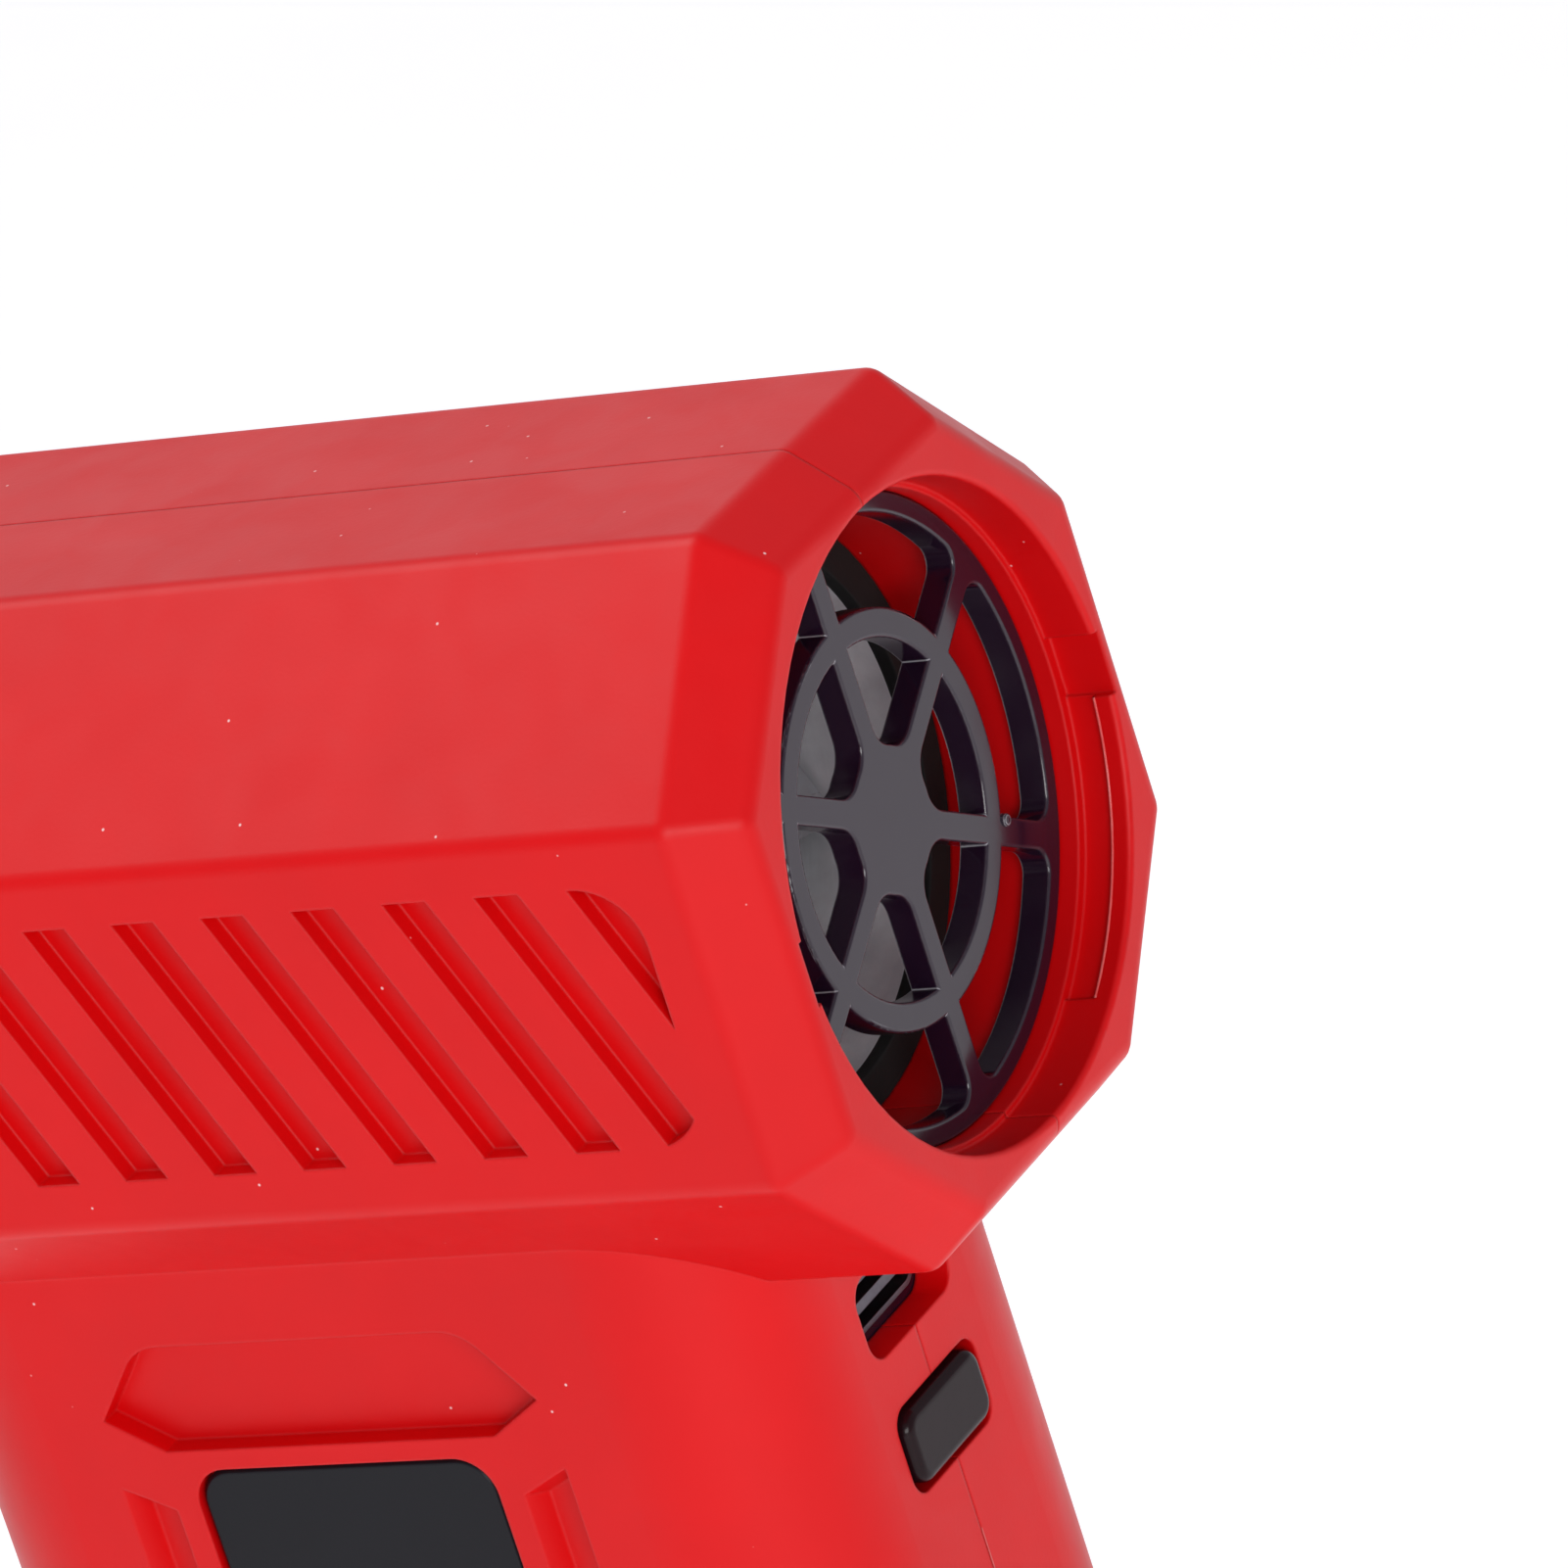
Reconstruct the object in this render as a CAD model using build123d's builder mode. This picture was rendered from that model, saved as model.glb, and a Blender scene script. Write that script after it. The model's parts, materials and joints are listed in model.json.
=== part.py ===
"""Handheld turbo blower for drying cars: an octagonal barrel on a battery handle.

Frame: +X is forward, the way the air leaves; +Y is the left side; +Z is up.
The origin is the centre of the base the tool stands on. Millimetres.
"""
import os
from math import cos, radians, sin

from build123d import *

os.makedirs("parts", exist_ok=True)

# ---------------------------------------------------------------- overall sizes
axis_height = 122.0          # barrel axis above the base
barrel_length = 106.7        # intake rim to outlet rim
rear_overhang = 14.2         # intake rim behind the handle's rear face
barrel_width = 49.2          # across the side facets
barrel_height = 48.4         # across the top and bottom facets
facet_width = 23.2           # width of each upright or level facet
handle_width = 36.0
handle_corner = 10.8         # radius of the handle's upright edges
wall = 2.4                   # moulded shell wall
seam_gap = 0.1               # joint line between the two shells
edge_round = 1.5             # softening of the barrel's edges

# ---------------------------------------------------------------- clearances
part_gap = 0.1               # between pieces that are clamped or pushed together
free_gap = 0.4               # between pieces that move past each other
shaft_fit = 0.03             # radial running fit of the shaft in its bearings

# ---------------------------------------------------------------- barrel ends
bezel_length = 4.0           # sloping band at each end of the barrel
bezel_inset = 3.2
collar_length = 7.6          # solid front end of the shell, which holds the nozzle
intake_collar = 12.0         # solid rear end, which holds the guard
intake_radius = 20.0
rim_round = 0.35             # softened edge of the intake bore
seat_depth = 3.4             # intake rim to the slightly smaller seat of the guard
inner_step = 0.6             # ledge behind the guard that it rests on
track_depth = 0.35           # bayonet track cut in the intake bore
track_start = 1.3            # from the rim to the track, which ends at the guard's seat
notch_depth = 0.45           # the two openings through which an attachment's lugs go in
track_sweep = 60.0           # degrees turned by an attachment
notch_width = 4.1
notch_count = 2

# ---------------------------------------------------------------- intake guard
guard_recess = 4.6           # rim to the guard's outer face
guard_thickness = 1.9
guard_play = 0.5             # guard to intake bore, all round
guard_tongue = 0.7           # rim of the guard held in the shell's groove
tongue_thickness = 1.0
spoke_width = 1.8
spoke_count = 6
guard_ring_inner = 10.8
guard_ring_outer = 12.6
guard_hub_radius = 4.5
hub_slot_round = 2.4
guard_rim_width = 1.3        # outside the outer slots
slot_corner = 1.3
guard_edge = 0.2             # softened edges of the guard's outer face

# ---------------------------------------------------------------- fan and motor
duct_radius = 16.6           # air passage around the impeller
duct_wall = 1.2
duct_lip = 1.0               # rubber in front of the duct's end
duct_length = 50.0
mount_ring_thickness = 1.4
mount_ring_width = 4.0
mount_spread = 39.8          # from the first rubber ring to the second
impeller_setback = 1.8       # duct's end to the impeller
impeller_length = 12.0
impeller_nose_radius = 5.0
impeller_back_radius = 10.0
blade_count = 11
blade_thickness = 0.9
blade_chord = 10.5
root_angle = 38.0            # blade to the axis at the hub
tip_angle = 60.0             # and at the tip
blade_gap = 0.5              # blade tip to duct
shaft_radius = 2.0
shaft_length = 36.4
shaft_nose = 1.2             # shaft in front of the impeller
nut_width = 6.0
nut_height = 1.6
motor_radius = 11.5
motor_wall = 1.0
motor_setback = 14.4         # front of the impeller to the motor
motor_length = 20.0
bearing_radius = 4.5
bearing_width = 4.0
stator_length = 9.0
stator_outer = 10.4
stator_yoke = 1.5
stator_inner = 6.5
tooth_width = 2.0
tooth_count = 6
magnet_radius = 6.0
vane_count = 9
vane_thickness = 1.2
sleeve_wall = 1.0
vane_setback = 17.0          # front of the impeller to the guide vanes
vane_length = 16.0
tail_length = 15.0
tail_tip_radius = 2.5

lead_radius = 0.7            # insulated wires from the board to the motor
lead_count = 3
lead_pitch = 1.8
lead_behind_motor = 1.0      # motor's rear face to the middle of the wires

# ---------------------------------------------------------------- outlet and nozzle
outlet_radius = 14.5         # air passage at the outlet
outlet_bore = 17.2           # shell bore that takes the nozzle's spigot
spigot_length = 6.0
nozzle_length = 26.0         # outside the barrel
nozzle_root_radius = 20.0
nozzle_tip_radius = 14.2
nozzle_tip_bore = 11.5
nozzle_wall = 1.6
nozzle_twist = 25.0          # degrees from locked to free
lug_width = 5.0
lug_height = 1.1
lug_thickness = 1.6
lug_count = 3
nozzle_rib_count = 18

# ---------------------------------------------------------------- barrel side grooves
groove_height = 16.8
groove_lean = 7.6            # run towards the rear from top to bottom
groove_width = 3.0
groove_pitch = 6.36
groove_phase = 0.8           # intake rim to the foot of the first groove
groove_depth = 1.3
groove_margin = 7.2          # plain band at each end of the barrel
field_corner = 4.0

# ---------------------------------------------------------------- handle side
badge_rise = 1.2             # top of the badge recess above the barrel's bottom facet
badge_height = 7.2
badge_top_half = 11.7
badge_side_half = 15.7
badge_bottom_half = 11.9
badge_side_drop = 4.9
badge_depth = 1.5
badge_round = 3.4
panel_width = 21.7
panel_height = 75.8
panel_base = 14.6
panel_corner = 2.6
panel_pocket = 1.5
panel_thickness = 1.2
flank_inner = 12.6           # the two upright grooves beside the panel
flank_width = 3.5
flank_slant = 1.7
flank_depth = 1.5
flank_taper = 30.0

# ---------------------------------------------------------------- controls
button_height = 82.2         # centre above the base
button_width = 9.9
button_tall = 4.9
button_corner = 1.4
button_proud = 0.5
button_round = 0.7
button_gap = 0.45
button_flange = 1.2          # flange wider than the opening, each side
flange_thickness = 1.0
button_travel = 0.9
port_height = 91.2
port_width = 11.0
port_tall = 5.4
port_corner = 1.6
surround_lap = 0.8           # black surround behind the port opening, each side
surround_thickness = 1.2
socket_width = 8.9
socket_tall = 3.2
socket_wall = 0.35
socket_length = 6.2
board_face = 5.6             # board behind the inner face of the handle's rear wall
board_thickness = 1.6
board_width = 25.0
board_height = 20.2
switch_size = 6.0
switch_body_height = 2.6
plunger_radius = 1.5
capacitor_radius = 4.0
capacitor_length = 12.0

# ---------------------------------------------------------------- battery
cell_radius = 9.15
cell_length = 65.0
cell_spacing = 0.3           # between neighbouring cells
cell_count = 3
cell_room = 1.8              # play of the cell row inside the handle, front to back
holder_plate = 1.5
holder_lip = 3.0
strip_thickness = 0.3
strip_width = 7.0
battery_lead_radius = 0.9
lead_bend = 1.9

# ---------------------------------------------------------------- base and screws
pad_proud = 0.6
pad_thickness = 2.0
pad_inset = 4.0
base_wall = 3.6
screw_radius = 1.4
screw_head_radius = 2.5
screw_head_height = 1.8
boss_radius = 2.9
boss_depth = 9.0             # thread length in the left shell
low_screw_rise = 2.0         # lower screws above the floor of the handle

# ---------------------------------------------------------------- places worked out
cell_pitch = 2 * cell_radius + cell_spacing
handle_length = cell_count * cell_pitch + cell_room + 2 * wall   # front to back
rear_end = -handle_length / 2 - rear_overhang
front_end = rear_end + barrel_length
half_width = barrel_width / 2
half_height = barrel_height / 2
facet_half = facet_width / 2
inner_half = handle_length / 2 - wall
guard_radius = intake_radius - guard_play
inner_step_radius = guard_radius - inner_step
guard_slot_outer = guard_radius - guard_rim_width
track_width = seat_depth - track_start
duct_outer = duct_radius + duct_wall
first_mount = intake_collar
second_mount = first_mount + mount_spread
duct_start = first_mount + duct_lip
impeller_start = duct_start + impeller_setback
shaft_start = impeller_start - shaft_nose
motor_start = impeller_start + motor_setback
vane_start = impeller_start + vane_setback
outlet_wall_radius = outlet_radius + duct_wall
sleeve_inner = motor_radius + part_gap
sleeve_outer = sleeve_inner + sleeve_wall
impeller_radius = duct_radius - blade_gap
barrel_bottom = axis_height - half_height
badge_top = barrel_bottom + badge_rise
board_x = -inner_half + board_face
low_screw_height = pad_proud + base_wall + low_screw_rise
cell_bottom = low_screw_height + boss_radius + 3 * part_gap + holder_plate + strip_thickness
cell_top = cell_bottom + cell_length
holder_top = cell_top + strip_thickness + holder_plate
board_bottom = holder_top + 4 * part_gap
board_top = board_bottom + board_height
screw_places = [
    (-handle_length / 2 + 11.0, low_screw_height),
    (handle_length / 2 - 11.0, low_screw_height),
    (handle_length / 2 - 9.0, button_height + 6.0),
    (front_end - collar_length - 6.2, axis_height + outlet_wall_radius + boss_radius + 0.9),
    (front_end - collar_length - 6.2, axis_height - outlet_wall_radius - boss_radius - 0.9),
]


barrel_axis = Axis((0, 0, axis_height), (1, 0, 0))


def across(distance):
    """Plane square to the barrel axis, this far forward of the intake rim."""
    return Plane(origin=(rear_end + distance, 0, axis_height), x_dir=(0, 1, 0), z_dir=(1, 0, 0))


def octagon(inset=0.0):
    """Outline of the barrel, drawn in by an inset on every facet."""
    corner = inset * 0.4142
    flat = facet_half - corner
    wide = half_width - inset
    tall = half_height - inset
    points = [(flat, tall), (wide, flat), (wide, -flat), (flat, -tall),
              (-flat, -tall), (-wide, -flat), (-wide, flat), (-flat, tall)]
    Polyline(*points, close=True)


def ring(start, length, outer, inner):
    """Plain tube on the barrel axis."""
    with BuildSketch(across(start)) as profile:
        Circle(outer)
        if inner > 0:
            Circle(inner, mode=Mode.SUBTRACT)
    extrude(profile.sketch, amount=length)


def save(piece, name):
    piece.part.label = name
    export_step(piece.part, f"parts/{name}.step")


# ================================================================ housing, both shells
with BuildPart() as housing:
    for near, far in ((0, bezel_length), (barrel_length, barrel_length - bezel_length)):
        with BuildSketch(across(near)):
            with BuildLine():
                octagon(bezel_inset)
            make_face()
        with BuildSketch(across(far)):
            with BuildLine():
                octagon()
            make_face()
        loft()
    with BuildSketch(across(bezel_length)):
        with BuildLine():
            octagon()
        make_face()
    extrude(amount=barrel_length - 2 * bezel_length)
    fillet(housing.edges(), radius=edge_round)
    with BuildSketch(Plane.XY.offset(pad_proud)):
        RectangleRounded(handle_length, handle_width, handle_corner)
    extrude(amount=axis_height - pad_proud)
    # hollow inside
    with BuildSketch(across(intake_collar)):
        with BuildLine():
            octagon(wall)
        make_face()
    extrude(amount=barrel_length - intake_collar - collar_length, mode=Mode.SUBTRACT)
    with BuildSketch(Plane.XY.offset(pad_proud + base_wall)):
        RectangleRounded(handle_length - 2 * wall, handle_width - 2 * wall, handle_corner - wall)
    extrude(amount=axis_height - pad_proud - base_wall, mode=Mode.SUBTRACT)
    # pocket for the base pad
    with BuildSketch(Plane.XY.offset(pad_proud)):
        RectangleRounded(handle_length - 2 * pad_inset, handle_width - 2 * pad_inset,
                         handle_corner - pad_inset)
    extrude(amount=pad_thickness - pad_proud, mode=Mode.SUBTRACT)
    # intake bore, guard groove and the rings that hold the fan duct
    with BuildSketch(across(0)):
        Circle(intake_radius)
    extrude(amount=seat_depth, mode=Mode.SUBTRACT)
    fillet(housing.edges().filter_by(GeomType.CIRCLE).group_by(Axis.X)[0], radius=rim_round)
    with BuildSketch(across(seat_depth)):
        Circle(guard_radius + part_gap)
    extrude(amount=guard_recess + guard_thickness - seat_depth, mode=Mode.SUBTRACT)
    with BuildSketch(across(guard_recess + (guard_thickness - tongue_thickness) / 2 - part_gap)):
        Circle(guard_radius + guard_tongue + part_gap)
    extrude(amount=tongue_thickness + 2 * part_gap, mode=Mode.SUBTRACT)
    with BuildSketch(across(0)):
        Circle(inner_step_radius)
    extrude(amount=intake_collar, mode=Mode.SUBTRACT)
    for start in (first_mount, second_mount):
        with BuildSketch(across(start)):
            with BuildLine():
                octagon(wall / 2)
            make_face()
            Circle(duct_outer + mount_ring_thickness, mode=Mode.SUBTRACT)
        extrude(amount=mount_ring_width)
    # outlet bore for the nozzle's spigot, with the lug track
    with BuildSketch(across(barrel_length)):
        Circle(outlet_bore)
    extrude(amount=-collar_length, mode=Mode.SUBTRACT)

with BuildPart() as intake_track:
    with BuildSketch(Plane.XY.offset(axis_height)):
        with Locations((rear_end + track_start + track_width / 2, intake_radius),
                       (rear_end + track_start + track_width / 2, -intake_radius)):
            Rectangle(track_width, 2 * track_depth)
    revolve(axis=barrel_axis, revolution_arc=track_sweep)
    with BuildSketch(across(0)):
        with PolarLocations(intake_radius, notch_count):
            Rectangle(2 * notch_depth, notch_width)
    extrude(amount=track_start + track_width)

with BuildPart() as lug_track:
    with BuildSketch(across(barrel_length)):
        with PolarLocations(outlet_bore, lug_count, start_angle=90 + nozzle_twist):
            Rectangle(2 * (lug_height + free_gap), lug_width + 2 * free_gap)
    extrude(amount=-spigot_length - free_gap)
    with BuildSketch(across(barrel_length - spigot_length - free_gap)):
        for turn in range(0, int(nozzle_twist) + 1, 5):
            with PolarLocations(outlet_bore, lug_count, start_angle=90 + turn):
                Rectangle(2 * (lug_height + free_gap), lug_width + 2 * free_gap)
    extrude(amount=lug_thickness + 2 * free_gap)

with BuildPart() as side_cuts:
    facet = Plane(origin=(0, half_width, axis_height), x_dir=(1, 0, 0), z_dir=(0, -1, 0))
    with BuildSketch(facet):
        groove_total = int((barrel_length - 2 * groove_margin) / groove_pitch) + 2
        for index in range(groove_total):
            left = rear_end + groove_phase + index * groove_pitch
            with BuildLine():
                Polyline((left, -groove_height / 2), (left + groove_width, -groove_height / 2),
                         (left + groove_width + groove_lean, groove_height / 2),
                         (left + groove_lean, groove_height / 2), close=True)
            make_face()
        with Locations(((rear_end + front_end) / 2, 0)):
            RectangleRounded(barrel_length - 2 * groove_margin, groove_height, field_corner,
                             mode=Mode.INTERSECT)
    extrude(amount=groove_depth)
    side = Plane(origin=(0, handle_width / 2, 0), x_dir=(1, 0, 0), z_dir=(0, -1, 0))
    with BuildSketch(side):
        with BuildLine():
            Polyline((-badge_top_half, badge_top),
                     (badge_top_half, badge_top),
                     (badge_side_half, badge_top - badge_side_drop),
                     (badge_bottom_half, badge_top - badge_height),
                     (-badge_bottom_half, badge_top - badge_height),
                     (-badge_side_half, badge_top - badge_side_drop), close=True)
        make_face()
        fillet(vertices().group_by(Axis.Y)[-1], radius=badge_round)
    extrude(amount=badge_depth)
    with BuildSketch(side):
        with Locations((0, panel_base + panel_height / 2)):
            RectangleRounded(panel_width, panel_height, panel_corner)
    extrude(amount=panel_pocket)
    flank_top = panel_base + panel_height - 1.0
    flank_outer = flank_inner + flank_width
    for way in (-1, 1):
        with BuildSketch(side):
            with BuildLine():
                Polyline((way * flank_inner, panel_base + flank_slant),
                         (way * flank_outer, panel_base),
                         (way * flank_outer, flank_top),
                         (way * flank_inner, flank_top - flank_slant), close=True)
            make_face()
        extrude(amount=flank_depth, taper=flank_taper)

rear = Plane(origin=(-handle_length / 2, 0, 0), x_dir=(0, 1, 0), z_dir=(1, 0, 0))

with BuildPart() as rear_cuts:
    with BuildSketch(rear):
        with Locations((0, button_height)):
            RectangleRounded(button_width + 2 * button_gap, button_tall + 2 * button_gap, button_corner)
        with Locations((0, port_height)):
            RectangleRounded(port_width, port_tall, port_corner)
    extrude(amount=wall)

with BuildPart() as board_rails:
    for face in (board_x - 1.6, board_x + board_thickness + part_gap):
        with BuildSketch(Plane.XY.offset(board_bottom)):
            with Locations((face + 0.75, handle_width / 2 - wall - 2.6),
                           (face + 0.75, -handle_width / 2 + wall + 2.6)):
                Rectangle(1.5, 6.0)
        extrude(amount=board_top - board_bottom - 2)

with BuildPart() as panel_plugs:
    # the trim panels clip in by two round pegs each, through the side walls
    with BuildSketch(Plane.XZ):
        with Locations((0, panel_base + 12), (0, panel_base + panel_height - 10)):
            Circle(1.5 + part_gap)
    extrude(amount=handle_width / 2, both=True)

bosses = {}
for hand, way in (("left", 1), ("right", -1)):
    with BuildPart() as boss_group:
        for x, z in screw_places:
            reach = half_width if z > barrel_bottom else handle_width / 2
            deep = Plane(origin=(x, way * (seam_gap / 2), z), x_dir=(1, 0, 0), z_dir=(0, way, 0))
            with BuildSketch(deep):
                Circle(boss_radius)
            extrude(amount=reach - wall / 2)
    bosses[hand] = boss_group.part

with BuildPart() as screw_holes:
    for x, z in screw_places:
        with BuildSketch(Plane(origin=(x, boss_depth, z), x_dir=(1, 0, 0), z_dir=(0, -1, 0))):
            Circle(screw_radius + part_gap)
        extrude(amount=boss_depth + barrel_width)

with BuildPart() as head_holes:
    for x, z in screw_places:
        reach = half_width if z > barrel_bottom else handle_width / 2
        with BuildSketch(Plane(origin=(x, -reach / 2, z), x_dir=(1, 0, 0), z_dir=(0, -1, 0))):
            Circle(screw_head_radius + part_gap)
        extrude(amount=reach)

with BuildPart() as outside:
    # the space the finished housing may fill, used to trim ribs and bosses
    with BuildSketch(across(collar_length - 1)):
        with BuildLine():
            octagon(wall / 2)
        make_face()
    extrude(amount=barrel_length - 2 * collar_length + 2)
    with BuildSketch(Plane.XY.offset(pad_proud + base_wall / 2)):
        RectangleRounded(handle_length - wall, handle_width - wall, handle_corner - wall / 2)
    extrude(amount=axis_height - pad_proud - base_wall / 2)
    with BuildSketch(across(collar_length - 1)):
        Circle(duct_outer + free_gap)
    extrude(amount=duct_start + duct_length, mode=Mode.SUBTRACT)

shells = {}
for hand, way in (("left", 1), ("right", -1)):
    with BuildPart() as shell:
        add(housing.part)
        add(bosses[hand] & outside.part)
        add(board_rails.part & outside.part)
        add(intake_track.part, mode=Mode.SUBTRACT)
        add(lug_track.part, mode=Mode.SUBTRACT)
        add(side_cuts.part, mode=Mode.SUBTRACT)
        add(mirror(side_cuts.part, about=Plane.XZ), mode=Mode.SUBTRACT)
        add(rear_cuts.part, mode=Mode.SUBTRACT)
        add(panel_plugs.part, mode=Mode.SUBTRACT)
        add(screw_holes.part, mode=Mode.SUBTRACT)
        if hand == "right":
            add(head_holes.part, mode=Mode.SUBTRACT)
        split(bisect_by=Plane.XZ.offset(-way * seam_gap / 2), keep=Keep.TOP if way < 0 else Keep.BOTTOM)
    shells[hand] = shell
    save(shell, f"{hand}_shell")

# ================================================================ intake guard
with BuildPart() as intake_guard:
    with BuildSketch(across(guard_recess)):
        Circle(guard_radius)
    extrude(amount=guard_thickness)
    ring(guard_recess + (guard_thickness - tongue_thickness) / 2, tongue_thickness,
         guard_radius + guard_tongue, guard_radius - 1)
    step = 360 / spoke_count
    for inner, outer, inner_round, outer_round in (
            (guard_hub_radius, guard_ring_inner, hub_slot_round, 0),
            (guard_ring_outer, guard_slot_outer, 0, slot_corner)):
        for index in range(spoke_count):
            middle = 90 + step / 2 + index * step
            with BuildSketch(across(guard_recess)) as window:
                Circle(outer)
                Circle(inner, mode=Mode.SUBTRACT)
                with BuildLine():
                    start = middle - step / 2
                    end = middle + step / 2
                    far = guard_radius * 2
                    inset = spoke_width / 2 / sin(radians(step / 2))
                    tip = (inset * cos(radians(middle)), inset * sin(radians(middle)))
                    Polyline(tip,
                             (tip[0] + far * cos(radians(start)), tip[1] + far * sin(radians(start))),
                             (tip[0] + far * cos(radians(end)), tip[1] + far * sin(radians(end))),
                             close=True)
                make_face(mode=Mode.INTERSECT)
                corners = window.vertices().sort_by(lambda v: Vector(v.X, v.Y).length)
                if inner_round:
                    fillet(corners[:2], radius=inner_round * 0.8)
                if outer_round:
                    fillet(corners[-2:], radius=outer_round)
            extrude(amount=guard_thickness, mode=Mode.SUBTRACT)
    fillet(intake_guard.faces().sort_by(Axis.X)[0].edges(), radius=guard_edge)
save(intake_guard, "intake_guard")

# ================================================================ fan duct and its rubber rings
lead_x = rear_end + motor_start + motor_length + lead_behind_motor
with BuildPart() as lead_slot:
    with BuildSketch(Plane.XY.offset(axis_height - duct_outer - 1)):
        with Locations((lead_x, 0)):
            RectangleRounded(2 * lead_radius + 2 * part_gap, lead_count * lead_pitch + 2 * part_gap,
                             lead_radius)
    extrude(amount=duct_outer)

with BuildPart() as fan_duct:
    ring(duct_start, duct_length, duct_outer, duct_radius)
    fillet(fan_duct.edges().filter_by(GeomType.CIRCLE).group_by(Axis.X)[0][0:1], radius=duct_wall * 0.45)
    add(lead_slot.part, mode=Mode.SUBTRACT)
save(fan_duct, "fan_duct")

for name, start, lip in (("rear_mount_ring", first_mount, duct_lip), ("front_mount_ring", second_mount, 0)):
    with BuildPart() as mount_ring:
        if lip:
            ring(start, lip, duct_outer + mount_ring_thickness, duct_radius)
        ring(start + lip, mount_ring_width - lip, duct_outer + mount_ring_thickness, duct_outer)
    save(mount_ring, name)

# ================================================================ impeller, nut, shaft
with BuildPart() as impeller:
    with BuildSketch(Plane.XZ.offset(0)) as hub_profile:
        with BuildLine():
            low = rear_end + impeller_start
            high = low + impeller_length
            bottom = axis_height
            Line((low, bottom), (low, bottom + impeller_nose_radius))
            Spline((low, bottom + impeller_nose_radius), (high, bottom + impeller_back_radius),
                   tangents=((1, 0.55), (1, 0.1)))
            Line((high, bottom + impeller_back_radius), (high, bottom))
            Line((high, bottom), (low, bottom))
        make_face()
    revolve(axis=barrel_axis)
    with BuildPart(mode=Mode.PRIVATE) as blade:
        middle = rear_end + impeller_start + impeller_length / 2 + 0.6
        for radius, angle in ((impeller_nose_radius - 1.5, root_angle),
                              (impeller_radius + 1.5, tip_angle)):
            twisted = Plane(origin=(middle, 0, axis_height + radius),
                            x_dir=(cos(radians(angle)), sin(radians(angle)), 0), z_dir=(0, 0, 1))
            with BuildSketch(twisted):
                SlotOverall(blade_chord, blade_thickness)
        loft()
    for index in range(blade_count):
        add(blade.part.rotate(barrel_axis, index * 360 / blade_count))
    with BuildSketch(across(impeller_start - 1)):
        Circle(impeller_radius)
    extrude(amount=impeller_length + 3, mode=Mode.INTERSECT)
    with BuildSketch(across(impeller_start - 2)):
        Circle(shaft_radius + 0.005)
    extrude(amount=impeller_length + 6, mode=Mode.SUBTRACT)
save(impeller, "impeller")

with BuildPart() as motor_shaft:
    ring(shaft_start, shaft_length, shaft_radius, 0)
    chamfer(motor_shaft.edges().group_by(Axis.X)[0], length=0.3)
save(motor_shaft, "motor_shaft")

with BuildPart() as impeller_nut:
    with BuildSketch(across(impeller_start - nut_height)):
        RegularPolygon(nut_width / 2, 6, major_radius=False)
        Circle(shaft_radius + 0.005, mode=Mode.SUBTRACT)
    extrude(amount=nut_height - 0.01)
save(impeller_nut, "impeller_nut")

# ================================================================ motor
with BuildPart() as vane_ring:
    ring(vane_start, vane_length, sleeve_outer, sleeve_inner)
    vane_outer = duct_radius - part_gap - 0.3
    vane_inner = sleeve_outer - 0.3
    with BuildSketch(across(vane_start)):
        with PolarLocations((vane_outer + vane_inner) / 2, vane_count, start_angle=-90):
            Rectangle(vane_outer - vane_inner, vane_thickness)
    extrude(amount=vane_length)
    ring(vane_start, vane_length, duct_radius - part_gap, duct_radius - part_gap - 0.9)
save(vane_ring, "vane_ring")

with BuildPart() as motor_can:
    ring(motor_start, motor_length, motor_radius, motor_radius - motor_wall)
    ring(motor_start, bearing_width, motor_radius, bearing_radius + 0.02)
save(motor_can, "motor_can")

with BuildPart() as motor_end_bell:
    ring(motor_start + motor_length - bearing_width, bearing_width,
         motor_radius - motor_wall - 0.05, bearing_radius + 0.02)
save(motor_end_bell, "motor_end_bell")

for name, start in (("front_bearing", motor_start),
                    ("rear_bearing", motor_start + motor_length - bearing_width)):
    with BuildPart() as bearing:
        ring(start, bearing_width, bearing_radius, shaft_radius + shaft_fit)
        for side_face in (0, 1):
            depth = 0.4
            at = start if side_face == 0 else start + bearing_width - depth
            with BuildSketch(across(at)):
                Circle(bearing_radius - 0.6)
                Circle(shaft_radius + 0.7, mode=Mode.SUBTRACT)
            extrude(amount=depth, mode=Mode.SUBTRACT)
    save(bearing, name)

stator_start = motor_start + (motor_length - stator_length) / 2
with BuildPart() as stator_core:
    ring(stator_start, stator_length, stator_outer, stator_outer - stator_yoke)
    with BuildSketch(across(stator_start)):
        with PolarLocations((stator_inner + stator_outer) / 2 - 0.3, tooth_count):
            Rectangle(stator_outer - stator_inner - 0.6, tooth_width)
    extrude(amount=stator_length)
    with BuildSketch(across(stator_start)):
        Circle(stator_inner)
    extrude(amount=stator_length, mode=Mode.SUBTRACT)
save(stator_core, "stator_core")

with BuildPart() as stator_windings:
    coil_inner = stator_inner + 0.5
    coil_outer = stator_outer - stator_yoke - 0.1
    with BuildSketch(across(stator_start - 0.8)):
        Circle(coil_outer)
        Circle(coil_inner, mode=Mode.SUBTRACT)
        with PolarLocations((coil_inner + coil_outer) / 2, tooth_count):
            Rectangle(coil_outer, tooth_width + 2 * part_gap, mode=Mode.SUBTRACT)
    extrude(amount=stator_length + 1.6)
save(stator_windings, "stator_windings")

with BuildPart() as rotor_magnet:
    ring(stator_start + 0.3, stator_length - 0.6, magnet_radius, shaft_radius + 0.005)
    fillet(rotor_magnet.edges().filter_by(GeomType.CIRCLE).group_by(SortBy.RADIUS)[-1], radius=0.3)
save(rotor_magnet, "rotor_magnet")

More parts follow.
